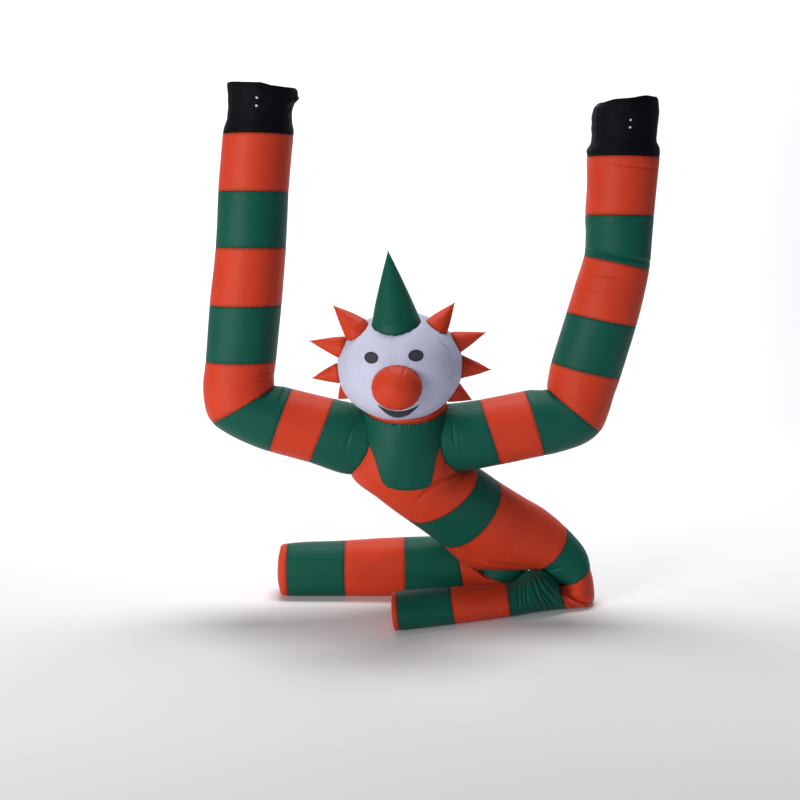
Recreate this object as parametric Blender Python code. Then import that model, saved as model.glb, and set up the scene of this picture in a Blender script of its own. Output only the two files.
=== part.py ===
"""Inflatable air dancer: a kneeling clown of striped fabric tubes, with both arms raised to open cuffs.

Metres, +Z up, front towards -Y. Left and right are the viewer's. Each tube is a row of oval rings: a ring has
a centre, a half width along its chord, a half depth along its other axis, the roll of the chord in the XZ
plane and the lean of the other axis away from +Y, both in degrees. Neighbouring stripes share a seam ring.
"""
import math

import bmesh
import bpy
from mathutils import Vector

# Driving dimensions.
ORIGIN_X = -0.0261
ORIGIN_Y = -0.0912
GAP = 0.0003
SIDES = 20
CUFF_WALL = 0.004
PANEL_THICKNESS = 0.003
FLOOR = 0.0

# Columns of every ring table: seam name or "", x, y, z, half_width, half_depth, roll, lean.
LEFT_ARM = (
    ("mouth", -1.031, -0.140, 3.341, 0.200, 0.190, -4.2, 0),
    ("", -1.034, -0.135, 3.274, 0.195, 0.190, -1.7, 0),
    ("", -1.039, -0.130, 3.200, 0.193, 0.190, -0.9, 0),
    ("", -1.045, -0.125, 3.135, 0.199, 0.194, -0.9, 0),
    ("", -1.050, -0.120, 3.097, 0.210, 0.204, -0.8, 0),
    ("cuff", -1.055, -0.120, 3.055, 0.215, 0.208, -0.8, 0),
    ("", -1.075, -0.105, 2.888, 0.216, 0.210, 0.0, 0),
    ("red_1", -1.094, -0.090, 2.715, 0.216, 0.210, -0.4, 0),
    ("green_1", -1.120, -0.060, 2.372, 0.218, 0.212, -0.4, 0),
    ("red_2", -1.163, -0.030, 2.014, 0.225, 0.214, -0.4, 0),
    ("green_2", -1.204, 0.000, 1.656, 0.223, 0.214, -0.4, 0),
    ("", -1.221, 0.000, 1.535, 0.229, 0.214, 8.9, 0),
    ("", -1.215, 0.000, 1.432, 0.234, 0.212, 20.2, 0),
    ("red_3", -1.194, 0.000, 1.376, 0.230, 0.212, 30.5, 0),
    ("", -1.140, 0.000, 1.339, 0.218, 0.210, 43.9, 0),
    ("", -1.054, 0.000, 1.305, 0.216, 0.208, 57.6, 0),
    ("green_3", -0.955, 0.000, 1.272, 0.215, 0.208, 70.0, 0),
    ("red_4", -0.692, 0.000, 1.203, 0.220, 0.206, 68.9, 0),
    ("", -0.490, 0.000, 1.148, 0.232, 0.206, 74.0, 0),
    ("green_4", -0.300, 0.000, 1.140, 0.228, 0.200, 78.0, 0),
)
RIGHT_ARM = (
    ("mouth", 1.188, -0.140, 3.253, 0.184, 0.186, 4.6, 0),
    ("", 1.180, -0.135, 3.191, 0.200, 0.192, 0.0, 0),
    ("", 1.176, -0.130, 3.102, 0.199, 0.192, 0.0, 0),
    ("", 1.176, -0.125, 3.019, 0.197, 0.192, 0.0, 0),
    ("", 1.175, -0.120, 2.972, 0.219, 0.208, 0.0, 0),
    ("cuff", 1.175, -0.120, 2.921, 0.220, 0.210, -0.8, 0),
    ("", 1.173, -0.105, 2.746, 0.212, 0.208, -0.8, 0),
    ("red_1", 1.168, -0.090, 2.572, 0.210, 0.206, -0.4, 0),
    ("", 1.169, -0.080, 2.435, 0.204, 0.204, -2.6, 0),
    ("green_1", 1.163, -0.060, 2.277, 0.206, 0.206, -12.2, 0),
    ("", 1.124, -0.045, 2.102, 0.218, 0.210, -9.9, 0),
    ("red_2", 1.082, -0.030, 1.924, 0.222, 0.212, -11.5, 0),
    ("green_2", 0.995, 0.000, 1.596, 0.224, 0.212, -13.3, 0),
    ("", 0.965, 0.000, 1.477, 0.216, 0.210, -14.7, 0),
    ("", 0.948, 0.000, 1.399, 0.213, 0.210, -24.2, 0),
    ("red_3", 0.925, 0.000, 1.336, 0.215, 0.210, -38.7, 0),
    ("", 0.867, 0.000, 1.295, 0.215, 0.208, -53.2, 0),
    ("", 0.784, 0.000, 1.272, 0.215, 0.208, -63.3, 0),
    ("green_3", 0.671, 0.000, 1.252, 0.218, 0.208, -72.8, 0),
    ("red_4", 0.389, 0.000, 1.194, 0.220, 0.206, -71.5, 0),
    ("", 0.158, 0.000, 1.158, 0.224, 0.206, -76.0, 0),
    ("green_4", -0.030, 0.000, 1.148, 0.222, 0.200, -80.0, 0),
)
BODY = (
    ("top", -0.176, -0.100, 1.500, 0.225, 0.200, 0.7, 10),
    ("collar", -0.164, 0.000, 1.380, 0.276, 0.310, 0.7, 14),
    ("", -0.160, 0.000, 1.270, 0.284, 0.314, 1.0, 8),
    ("", -0.163, 0.000, 1.149, 0.295, 0.312, 1.3, 5),
    ("", -0.172, 0.005, 1.010, 0.338, 0.304, 1.6, 6),
    ("", -0.150, 0.015, 0.932, 0.350, 0.296, 4.0, 9),
    ("", -0.070, 0.032, 0.872, 0.303, 0.288, 14.0, 14),
    ("chest", 0.073, 0.066, 0.784, 0.283, 0.272, 33.0, 20),
    ("green_5", 0.263, 0.145, 0.632, 0.281, 0.260, 47.0, 24),
    ("", 0.448, 0.205, 0.487, 0.298, 0.250, 45.6, 24),
    ("", 0.630, 0.245, 0.424, 0.250, 0.232, 49.1, 22),
    ("pelvis", 0.785, 0.265, 0.366, 0.192, 0.207, 45.6, 18),
    ("", 0.920, 0.250, 0.255, 0.166, 0.185, 40.0, 10),
    ("near_thigh", 0.986, 0.225, 0.194, 0.120, 0.170, 32.0, 4),
    ("", 0.996, 0.195, 0.137, 0.112, 0.165, 5.0, 1),
    ("", 0.992, 0.165, 0.061, 0.121, 0.162, -28.0, 0),
    ("", 0.921, 0.138, 0.056, 0.070, 0.160, -55.0, 0),
    ("near_knee", 0.887, 0.118, 0.052, 0.058, 0.160, -78.0, 0),
    ("", 0.830, 0.094, 0.093, 0.102, 0.162, -81.0, 0),
    ("", 0.708, 0.040, 0.113, 0.122, 0.164, -83.0, 1),
    ("near_shin_1", 0.519, -0.040, 0.090, 0.099, 0.165, -82.0, 2),
    ("near_shin_2", 0.150, -0.190, 0.101, 0.110, 0.165, -81.0, 2),
    ("near_shin_3", -0.195, -0.314, 0.108, 0.117, 0.160, -83.0, 3),
    ("", -0.226, -0.325, 0.108, 0.098, 0.130, -86.0, 4),
    ("near_end", -0.237, -0.329, 0.108, 0.050, 0.065, -88.0, 4),
)
FAR_LEG = (
    ("top", 0.585, 0.265, 0.460, 0.130, 0.140, -4.0, 4),
    ("", 0.555, 0.290, 0.310, 0.150, 0.150, -8.0, 9),
    ("far_thigh", 0.505, 0.325, 0.172, 0.160, 0.160, -15.0, 12),
    ("", 0.378, 0.356, 0.160, 0.178, 0.168, -52.0, 6),
    ("far_knee", 0.222, 0.378, 0.188, 0.206, 0.172, -81.0, 0),
    ("far_shin_1", -0.156, 0.380, 0.190, 0.203, 0.172, -89.0, 0),
    ("far_shin_2", -0.565, 0.380, 0.178, 0.191, 0.168, -89.5, 0),
    ("far_shin_3", -0.957, 0.380, 0.168, 0.180, 0.162, -89.0, 0),
    ("", -1.009, 0.380, 0.168, 0.146, 0.132, -90.0, 0),
    ("far_end", -1.027, 0.380, 0.168, 0.073, 0.066, -90.0, 0),
)

# Head: an oval ball, tilted in the XZ plane.
HEAD_CENTRE = Vector((-0.190, -0.250, 1.652))
HEAD_HALF = Vector((0.389, 0.360, 0.335))
HEAD_TILT = 3.3
HEAD_SEGMENTS = 28
HEAD_RINGS = 16
NOSE_CENTRE = Vector((-0.209, -0.585, 1.564))
NOSE_HALF = Vector((0.150, 0.150, 0.136))
NOSE_SEGMENTS = 20
NOSE_RINGS = 12

# Cones on the head. Columns: node, tip x, tip z, base x, base z, base radius, y of the base, y of the tip.
HORNS = (
    ("Hair_right_1", 0.143, 2.046, 0.024, 1.888, 0.082, -0.330, -0.300),
    ("Hair_right_2", 0.338, 1.860, 0.156, 1.800, 0.070, -0.270, -0.260),
    ("Hair_right_3", 0.373, 1.627, 0.188, 1.646, 0.076, -0.250, -0.240),
    ("Hair_right_4", 0.262, 1.425, 0.145, 1.482, 0.070, -0.180, -0.150),
    ("Hair_left_1", -0.596, 2.028, -0.459, 1.890, 0.084, -0.330, -0.300),
    ("Hair_left_2", -0.748, 1.808, -0.553, 1.770, 0.069, -0.270, -0.260),
    ("Hair_left_3", -0.735, 1.574, -0.575, 1.607, 0.064, -0.250, -0.240),
    ("Hair_left_4", -0.579, 1.430, -0.525, 1.485, 0.056, -0.170, -0.150),
)
CONE_SIDES = 16
CONE_DEPTH = 0.10
HAT_TIP = Vector((-0.262, -0.355, 2.360))
HAT_BASE = Vector((-0.214, -0.368, 1.920))
HAT_RADIUS = 0.154
HAT_DEPTH = 0.20
# Rings of a cone from its tip down to its base. Columns: share of the length, share of the base radius.
CONE_PROFILE = (
    (0.5, 0.525),
    (0.0, 1.0),
)

# Flat patches on the head. Columns: node, centre x, centre z, half width, half height.
EYES = (
    ("Eye_left", -0.359, 1.737, 0.041, 0.034),
    ("Eye_right", -0.097, 1.752, 0.045, 0.034),
)
EYE_SIDES = 16
MOUTH_LEFT = -0.323
MOUTH_RIGHT = -0.076
MOUTH_CORNER_Z = 1.451
MOUTH_TOP_SAG = 0.043
MOUTH_BOTTOM_SAG = 0.094
MOUTH_STEPS = 12
FACE_FRONT = -0.80
FACE_BACK = -0.30

# Green panel on the chest front: its outline seen from the front, down the left edge, along and up the right.
# Columns: x, z.
PANEL = (
    (-0.439, 1.420),
    (-0.432, 1.287),
    (-0.394, 1.173),
    (-0.355, 1.084),
    (-0.310, 0.944),
    (-0.285, 0.882),
    (-0.159, 0.872),
    (-0.042, 0.876),
    (0.009, 0.895),
    (0.012, 0.946),
    (0.035, 1.072),
    (0.074, 1.167),
    (0.110, 1.281),
    (0.116, 1.420),
)
PANEL_SMOOTH = 3
PANEL_BACK = -0.02
PANEL_FRONT = -0.60
PANEL_LAST_ROW = 6

# Press studs. Columns: node, arm table, ring row, share of the way to the next row, ring corner.
STUDS = (
    ("Stud_left_upper", "left", 1, 0.24, -5),
    ("Stud_left_lower", "left", 1, 0.86, -5),
    ("Stud_right_upper", "right", 1, 0.71, -5),
    ("Stud_right_lower", "right", 2, 0.20, -5),
)
STUD_RADIUS = 0.007
STUD_HEIGHT = 0.003
STUD_SIDES = 12
# Columns: share of the height, share of the radius.
STUD_PROFILE = (
    (0.0, 1.0),
    (0.6, 1.0),
    (1.0, 0.6),
)

# Bunched cloth at the mouth of the left cuff: how far each of its first rings stands out at its right side.
LUMP = (0.030, 0.040, 0.006)

# Sewn stripes. Columns: node, upper seam, lower seam, material, steps between two table rows.
ARM_STRIPES = (
    ("red_1", "cuff", "red_1", "Fabric red", 1),
    ("green_1", "red_1", "green_1", "Fabric green", 1),
    ("red_2", "green_1", "red_2", "Fabric red", 1),
    ("green_2", "red_2", "green_2", "Fabric green", 1),
    ("red_3", "green_2", "red_3", "Fabric red", 1),
    ("green_3", "red_3", "green_3", "Fabric green", 1),
    ("red_4", "green_3", "red_4", "Fabric red", 1),
    ("green_4", "red_4", "green_4", "Fabric green", 2),
)
BODY_STRIPES = (
    ("Collar", "top", "collar", "Fabric red", 2),
    ("Chest", "collar", "chest", "Fabric red", 2),
    ("Waist_green", "chest", "green_5", "Fabric green", 2),
    ("Pelvis", "green_5", "pelvis", "Fabric red", 2),
    ("Near_thigh", "pelvis", "near_thigh", "Fabric green", 2),
    ("Near_knee", "near_thigh", "near_knee", "Fabric red", 2),
    ("Near_shin_green_1", "near_knee", "near_shin_1", "Fabric green", 2),
    ("Near_shin_red", "near_shin_1", "near_shin_2", "Fabric red", 2),
    ("Near_shin_green_2", "near_shin_2", "near_shin_3", "Fabric green", 2),
    ("Near_foot_cap", "near_shin_3", "near_end", "Fabric red", 1),
)
FAR_LEG_STRIPES = (
    ("Far_thigh", "top", "far_thigh", "Fabric green", 2),
    ("Far_knee", "far_thigh", "far_knee", "Fabric red", 2),
    ("Far_shin_green_1", "far_knee", "far_shin_1", "Fabric green", 2),
    ("Far_shin_red", "far_shin_1", "far_shin_2", "Fabric red", 2),
    ("Far_shin_green_2", "far_shin_2", "far_shin_3", "Fabric green", 2),
    ("Far_foot_cap", "far_shin_3", "far_end", "Fabric red", 1),
)

# Columns: material, red, green, blue, roughness, metallic.
MATERIALS = (
    ("Fabric red", 0.78, 0.07, 0.02, 0.6, 0.0),
    ("Fabric green", 0.010, 0.12, 0.075, 0.6, 0.0),
    ("Fabric black", 0.008, 0.009, 0.014, 0.7, 0.0),
    ("Fabric white", 0.56, 0.57, 0.70, 0.6, 0.0),
    ("Fabric grey", 0.05, 0.055, 0.06, 0.7, 0.0),
    ("Stud metal", 0.60, 0.62, 0.66, 0.35, 0.8),
)
OFFSET = Vector((ORIGIN_X, ORIGIN_Y, 0.0))


def make_material(name, red, green, blue, roughness, metallic):
    material = bpy.data.materials.new(name)
    material.use_nodes = True
    shader = material.node_tree.nodes["Principled BSDF"]
    shader.inputs["Base Color"].default_value = (red, green, blue, 1.0)
    shader.inputs["Roughness"].default_value = roughness
    shader.inputs["Metallic"].default_value = metallic
    material.diffuse_color = (red, green, blue, 1.0)
    return material


def add_mesh(name, points, faces, material, cutter=False):
    """One closed body: an object of the part, or a hidden cutter."""
    mesh = bpy.data.meshes.new(name)
    mesh.from_pydata([point - OFFSET for point in points], [], faces)
    bm = bmesh.new()
    bm.from_mesh(mesh)
    bmesh.ops.recalc_face_normals(bm, faces=bm.faces)
    bm.to_mesh(mesh)
    bm.free()
    mesh.shade_smooth()
    mesh.set_sharp_from_angle(angle=math.radians(50))
    mesh.materials.append(bpy.data.materials[material])
    obj = bpy.data.objects.new(name, mesh)
    bpy.context.scene.collection.objects.link(obj)
    if cutter:
        obj.hide_render = True
        obj.display_type = "WIRE"
    return obj


def cut(obj, cutter):
    modifier = obj.modifiers.new("Cut", "BOOLEAN")
    modifier.operation = "DIFFERENCE"
    modifier.solver = "EXACT"
    modifier.object = cutter


def row_at(table, station):
    """The table's columns at a whole or part row, on a smooth curve through its rows."""
    last = len(table) - 1
    low = max(0, min(last - 1, int(station)))
    share = station - low
    rows = [table[max(0, min(last, low + step))][1:] for step in (-1, 0, 1, 2)]
    values = []
    for a, b, c, d in zip(*rows):
        linear = c - a
        square = 2 * a - 5 * b + 4 * c - d
        cube = 3 * b - a - 3 * c + d
        values.append(b + 0.5 * share * (linear + share * (square + share * cube)))
    return values


def ring_axes(row):
    roll, lean = math.radians(row[5]), math.radians(row[6])
    chord = Vector((math.cos(roll), 0.0, math.sin(roll)))
    upward = Vector((-math.sin(roll), 0.0, math.cos(roll)))
    depth = Vector((0.0, math.cos(lean), 0.0)) + upward * math.sin(lean)
    return chord, depth, chord.cross(depth)


def lift_to_floor(point, normal):
    """Moves a point that lies below the floor up to it, inside its own ring's plane."""
    if point.z >= FLOOR:
        return point
    rise = Vector((0.0, 0.0, 1.0)) - normal * normal.z
    return point + rise * ((FLOOR - point.z) / rise.z)


def ring(table, station, grow=0.0, shift=0.0):
    row = row_at(table, station)
    chord, depth, normal = ring_axes(row)
    centre = Vector(row[:3]) + normal * shift
    points = []
    for corner in range(SIDES):
        angle = 2 * math.pi * corner / SIDES
        point = centre + chord * ((row[3] + grow) * math.cos(angle))
        point += depth * ((row[4] + grow) * math.sin(angle))
        points.append(lift_to_floor(point, normal) if grow == 0.0 else point)
    return points


def loft(rings, first_cap=True, last_cap=True):
    """Faces between equal rings, with a flat cap at each end."""
    points = [point for loop in rings for point in loop]
    size = len(rings[0])
    faces = []
    for level in range(len(rings) - 1):
        for corner in range(size):
            following = (corner + 1) % size
            low, high = level * size, (level + 1) * size
            faces.append((low + corner, low + following, high + following))
            faces.append((low + corner, high + following, high + corner))
    if first_cap:
        faces.append(tuple(reversed(range(size))))
    if last_cap:
        faces.append(tuple(range(len(points) - size, len(points))))
    return points, faces


def seam(table, name):
    return next(index for index, row in enumerate(table) if row[0] == name)


def stripe_rings(table, upper, lower, steps, grow=0.0):
    """Rings from one seam to the next, drawn in at both ends by half the gap, or out by it on a cutter."""
    first, last = seam(table, upper), seam(table, lower)
    count = (last - first) * steps
    rings = []
    for step in range(count + 1):
        station = first + step / steps
        shift = 0.0
        if step in (0, count):
            inward = 1 if step == 0 else -1
            normal = ring_axes(row_at(table, station))[2]
            near = Vector(row_at(table, station)[:3])
            ahead = Vector(row_at(table, station + 0.1 * inward)[:3])
            side = 1 if (ahead - near).dot(normal) > 0 else -1
            shift = side * (GAP / 2 if grow == 0.0 else -grow)
        rings.append(ring(table, station, grow, shift))
    return rings


def add_stripe(name, table, upper, lower, material, steps):
    return add_mesh(name, *loft(stripe_rings(table, upper, lower, steps)), material)


def add_cutter(name, table, upper, lower, steps):
    """The same stretch of tube as the solid, one gap larger all round."""
    points, faces = loft(stripe_rings(table, upper, lower, steps, GAP))
    return add_mesh(f"Cutter {name}", points, faces, "Fabric grey", cutter=True)


def cuff_rings(table, inset, lump):
    """Rings of a cuff from its mouth to its seam, on the outer face or inset to the inner one."""
    seam_row = seam(table, "cuff")
    rings = []
    for row in range(seam_row + 1):
        normal = ring_axes(row_at(table, row))[2]
        shift = 0.0
        if row == seam_row:
            shift = GAP / 2 if normal.z > 0 else -GAP / 2
        loop = ring(table, row, -inset if inset else 0.0, shift)
        if lump and row < len(LUMP):
            centre = Vector(row_at(table, row)[:3])
            for corner, share in ((SIDES - 1, 0.5), (0, 1.0), (1, 0.5)):
                loop[corner] += (loop[corner] - centre).normalized() * LUMP[row] * share
        rings.append(loop)
    return rings


def add_cuff(name, table, lump):
    """A fabric tube that is open at both ends."""
    outer = cuff_rings(table, 0.0, lump)
    inner = cuff_rings(table, CUFF_WALL, lump)
    loop = outer + inner[::-1]
    points, faces = loft(loop, first_cap=False, last_cap=False)
    last = (len(loop) - 1) * SIDES
    for corner in range(SIDES):
        following = (corner + 1) % SIDES
        faces.append((last + corner, last + following, following, corner))
    return add_mesh(name, points, faces, "Fabric black")


def add_stud(name, table, row, share, corner):
    """A low disc seated on the ridge of the cuff's front."""
    upper, lower = ring(table, row), ring(table, row + 1)
    seat = upper[corner].lerp(lower[corner], share)
    centre = Vector(row_at(table, row)[:3]).lerp(Vector(row_at(table, row + 1)[:3]), share)
    along = (lower[corner] - upper[corner]).normalized()
    outward = seat - centre
    outward = (outward - along * outward.dot(along)).normalized()
    across = along.cross(outward)
    rings = []
    for height_share, radius_share in STUD_PROFILE:
        height, radius = GAP + STUD_HEIGHT * height_share, STUD_RADIUS * radius_share
        rings.append([])
        for step in range(STUD_SIDES):
            angle = 2 * math.pi * step / STUD_SIDES
            offset = along * math.cos(angle) + across * math.sin(angle)
            rings[-1].append(seat + outward * height + offset * radius)
    return add_mesh(name, *loft(rings), "Stud metal")


def ellipsoid(centre, half, tilt, segments, levels, grow=0.0):
    """An oval ball whose poles point front and back."""
    angle = math.radians(tilt)
    right = Vector((math.cos(angle), 0.0, math.sin(angle)))
    up = Vector((-math.sin(angle), 0.0, math.cos(angle)))
    points = [centre - Vector((0.0, half.y + grow, 0.0))]
    for level in range(1, levels):
        polar = math.pi * level / levels
        for step in range(segments):
            turn = 2 * math.pi * step / segments
            point = centre + right * ((half.x + grow) * math.sin(polar) * math.cos(turn))
            point += up * ((half.z + grow) * math.sin(polar) * math.sin(turn))
            point -= Vector((0.0, (half.y + grow) * math.cos(polar), 0.0))
            points.append(point)
    points.append(centre + Vector((0.0, half.y + grow, 0.0)))
    last = len(points) - 1
    faces = []
    for step in range(segments):
        following = (step + 1) % segments
        faces.append((0, 1 + step, 1 + following))
        base = 1 + (levels - 2) * segments
        faces.append((last, base + following, base + step))
        for level in range(levels - 2):
            low, high = 1 + level * segments, 1 + (level + 1) * segments
            faces.append((low + step, high + step, high + following, low + following))
    return points, faces


def cone(tip, base, radius, depth):
    """A cone whose base goes on by depth below the base point, for a cut to finish."""
    axis = tip - base
    length = axis.length
    axis.normalize()
    across = axis.orthogonal().normalized()
    other = axis.cross(across)
    points = [tip]
    for share, flare in (*CONE_PROFILE, (-depth / length, 1.0)):
        reach = share * length
        for step in range(CONE_SIDES):
            angle = 2 * math.pi * step / CONE_SIDES
            spoke = across * math.cos(angle) + other * math.sin(angle)
            points.append(base + axis * reach + spoke * (radius * flare))
    faces = []
    for step in range(CONE_SIDES):
        following = (step + 1) % CONE_SIDES
        faces.append((0, 1 + step, 1 + following))
        for level in range(len(CONE_PROFILE)):
            low, high = 1 + level * CONE_SIDES, 1 + (level + 1) * CONE_SIDES
            faces.append((low + step, high + step, high + following, low + following))
    faces.append(tuple(range(len(points) - CONE_SIDES, len(points))))
    return points, faces


def keep_inside(obj, outline, front, back):
    """Keeps what lies behind an outline in the XZ plane, between two depths."""
    walls = [[Vector((x, y, z)) for x, z in outline] for y in (front, back)]
    prism = add_mesh(f"Cutter {obj.name} outline", *loft(walls), "Fabric grey", cutter=True)
    modifier = obj.modifiers.new("Keep the outline", "BOOLEAN")
    modifier.operation = "INTERSECT"
    modifier.solver = "EXACT"
    modifier.object = prism


def add_patch(name, outline, head_cutter):
    """A thin patch on the head: the head grown by its thickness, less the head, inside the outline."""
    grow = 2 * GAP + PANEL_THICKNESS
    points, faces = ellipsoid(HEAD_CENTRE, HEAD_HALF, HEAD_TILT, HEAD_SEGMENTS, HEAD_RINGS, grow)
    patch = add_mesh(name, points, faces, "Fabric grey")
    cut(patch, head_cutter)
    keep_inside(patch, outline, FACE_FRONT, FACE_BACK)
    return patch


def eye_outline(x, z, half_width, half_height):
    outline = []
    for step in range(EYE_SIDES):
        angle = 2 * math.pi * step / EYE_SIDES
        outline.append((x + half_width * math.cos(angle), z + half_height * math.sin(angle)))
    return outline


def mouth_outline():
    """A crescent: two sagging edges that meet at its corners."""
    middle = (MOUTH_LEFT + MOUTH_RIGHT) / 2
    half = (MOUTH_RIGHT - MOUTH_LEFT) / 2
    top, bottom = [], []
    for step in range(MOUTH_STEPS + 1):
        turn = math.pi * step / MOUTH_STEPS
        x = middle - half * math.cos(turn)
        top.append((x, MOUTH_CORNER_Z - MOUTH_TOP_SAG * math.sin(turn) ** 2))
        bottom.append((x, MOUTH_CORNER_Z - MOUTH_BOTTOM_SAG * math.sin(turn) ** 2))
    return top + bottom[-2:0:-1]


def smooth_outline(corners, steps):
    """A curve through corner points, with extra points between them."""
    points = []
    for index in range(len(corners) - 1):
        picks = [corners[max(0, min(len(corners) - 1, index + step))] for step in (-1, 0, 1, 2)]
        for step in range(steps):
            share = step / steps
            point = []
            for a, b, c, d in zip(*picks):
                square = 2 * a - 5 * b + 4 * c - d
                cube = 3 * b - a - 3 * c + d
                point.append(b + 0.5 * share * (c - a + share * (square + share * cube)))
            points.append(tuple(point))
    points.append(corners[-1])
    return points


def add_panel(chest_cutter):
    """A cloth panel: the chest's front grown by its thickness, less the chest, inside the outline."""
    first = seam(BODY, "collar")
    rings = []
    for step in range(2 * (PANEL_LAST_ROW - first) + 1):
        rings.append(ring(BODY, first + step / 2, 2 * GAP + PANEL_THICKNESS))
    panel = add_mesh("Chest_panel", *loft(rings), "Fabric green")
    cut(panel, chest_cutter)
    keep_inside(panel, smooth_outline(PANEL, PANEL_SMOOTH), PANEL_FRONT, PANEL_BACK)
    return panel


def build_arms():
    arms = {}
    for side, table in (("left", LEFT_ARM), ("right", RIGHT_ARM)):
        add_cuff(f"Cuff_{side}", table, side == "left")
        for name, upper, lower, material, steps in ARM_STRIPES:
            arms[side, name] = add_stripe(f"Arm_{side}_{name}", table, upper, lower, material, steps)
    for name, side, row, share, corner in STUDS:
        add_stud(name, LEFT_ARM if side == "left" else RIGHT_ARM, row, share, corner)
    return arms


def build_body():
    pieces = {}
    for name, upper, lower, material, steps in BODY_STRIPES:
        pieces[name] = add_stripe(name, BODY, upper, lower, material, steps)
    for name, upper, lower, material, steps in FAR_LEG_STRIPES:
        pieces[name] = add_stripe(name, FAR_LEG, upper, lower, material, steps)
    return pieces


def build_head():
    """The head and what is sewn to it, each trimmed to the head's face."""
    points, faces = ellipsoid(HEAD_CENTRE, HEAD_HALF, HEAD_TILT, HEAD_SEGMENTS, HEAD_RINGS)
    add_mesh("Head", points, faces, "Fabric white")
    points, faces = ellipsoid(HEAD_CENTRE, HEAD_HALF, HEAD_TILT, HEAD_SEGMENTS, HEAD_RINGS, GAP)
    cutter = add_mesh("Cutter head", points, faces, "Fabric grey", cutter=True)
    nose = add_mesh("Nose", *ellipsoid(NOSE_CENTRE, NOSE_HALF, 0.0, NOSE_SEGMENTS, NOSE_RINGS), "Fabric red")
    cut(nose, cutter)
    hat = add_mesh("Hat", *cone(HAT_TIP, HAT_BASE, HAT_RADIUS, HAT_DEPTH), "Fabric green")
    cut(hat, cutter)
    for name, tip_x, tip_z, base_x, base_z, radius, base_y, tip_y in HORNS:
        tip, base = Vector((tip_x, tip_y, tip_z)), Vector((base_x, base_y, base_z))
        horn = add_mesh(name, *cone(tip, base, radius, CONE_DEPTH), "Fabric red")
        cut(horn, cutter)
    for name, *oval in EYES:
        add_patch(name, eye_outline(*oval), cutter)
    mouth = add_patch("Mouth", mouth_outline(), cutter)
    points, faces = ellipsoid(NOSE_CENTRE, NOSE_HALF, 0.0, NOSE_SEGMENTS, NOSE_RINGS, GAP)
    cut(mouth, add_mesh("Cutter nose", points, faces, "Fabric grey", cutter=True))
    return cutter


def trim(arms, pieces, head_cutter):
    """Where pieces of cloth press on each other, one is cut back to the other's face."""
    chest = add_cutter("chest", BODY, "collar", "chest", 2)
    collar = add_cutter("collar", BODY, "top", "collar", 2)
    for side in ("left", "right"):
        cut(arms[side, "green_4"], chest)
        cut(arms[side, "green_4"], collar)
    cut(pieces["Collar"], head_cutter)
    cut(pieces["Chest"], head_cutter)
    panel = add_panel(chest)
    cut(panel, head_cutter)
    for side, table in (("left", LEFT_ARM), ("right", RIGHT_ARM)):
        cut(panel, add_cutter(f"{side} shoulder", table, "red_4", "green_4", 2))
    pelvis = add_cutter("pelvis", BODY, "green_5", "pelvis", 2)
    thigh = add_cutter("near thigh", BODY, "pelvis", "near_thigh", 2)
    cut(pieces["Near_knee"], thigh)
    cut(pieces["Far_shin_green_1"], pelvis)
    for name in ("Near_shin_green_1", "Far_thigh", "Far_knee"):
        cut(pieces[name], pelvis)
        cut(pieces[name], thigh)


def main():
    for obj in list(bpy.data.objects):
        bpy.data.objects.remove(obj, do_unlink=True)
    for row in MATERIALS:
        make_material(*row)
    arms = build_arms()
    pieces = build_body()
    trim(arms, pieces, build_head())


main()
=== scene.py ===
"""The looks of the inflatable air dancer: air-filled cloth with seams, gathers and folds, and its light."""
import math

import bpy
import numpy as np
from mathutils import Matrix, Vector
from mathutils.bvhtree import BVHTree


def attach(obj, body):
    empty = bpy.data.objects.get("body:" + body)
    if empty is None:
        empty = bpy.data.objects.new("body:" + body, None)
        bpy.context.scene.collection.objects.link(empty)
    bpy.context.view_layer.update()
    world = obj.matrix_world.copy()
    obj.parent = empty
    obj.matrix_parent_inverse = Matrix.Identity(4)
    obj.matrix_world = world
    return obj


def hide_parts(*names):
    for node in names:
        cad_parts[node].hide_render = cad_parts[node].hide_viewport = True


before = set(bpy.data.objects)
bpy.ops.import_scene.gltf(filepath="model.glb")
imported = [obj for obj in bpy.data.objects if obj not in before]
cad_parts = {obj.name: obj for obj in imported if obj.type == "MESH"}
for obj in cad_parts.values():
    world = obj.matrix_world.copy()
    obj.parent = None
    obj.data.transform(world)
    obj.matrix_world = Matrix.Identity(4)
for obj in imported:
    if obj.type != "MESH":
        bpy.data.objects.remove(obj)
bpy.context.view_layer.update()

# Sizes are in metres. The tables have their own origin, and ORIGIN is where the part's origin is in them.
ORIGIN = np.array((-0.0261, -0.0912, 0.0))
# The slit between two pieces that are sewn together.
GAP = 0.0003
PANEL_THICKNESS = 0.003
# How far patches lie off their seat, the share of them that their rounded edge takes, and its thinner rim.
PATCH_CLEARANCE = 0.0008
PATCH_ROUND = 0.045
PATCH_RIM = 0.35

# Sides of a tube, and the distance between its rings.
SIDES = 128
WIDE_SIDES = 160
SPACING = 0.008
WIDE_SPACING = 0.009
FINE_SPACING = 0.006
ELBOW_SPACING = 0.005
# Where the extra rings beside a seam are.
SEAM_MARKS = (0.0, 0.0015, 0.004, 0.007, 0.011, 0.016, 0.022)

# A seam's groove, and the gathers beside it.
SEAM_DEPTH = 0.0028
SEAM_WIDTH = 0.007
GATHER_HEIGHT = 0.0016
COLLAR_GATHER = 0.003
GATHER_REACH = 0.045
GATHER_TURN = 60
# Long soft waves, which fade towards the seams.
BILLOW_HEIGHT = 0.001575
BILLOW_FADE = 0.05
# Cross folds inside a bend. Most torso and leg pieces have FOLD_SHARE of their height.
FOLD_HEIGHT = 0.0042
FOLD_PITCH = 0.021
FOLD_SHARE = 0.3
FOLD_RAMP = 4
MOST_SQUEEZE = 0.8
# Rings this much nearer together than on the centre line are shaped less, so that they don't cross.
CROWDED = 0.30
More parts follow.
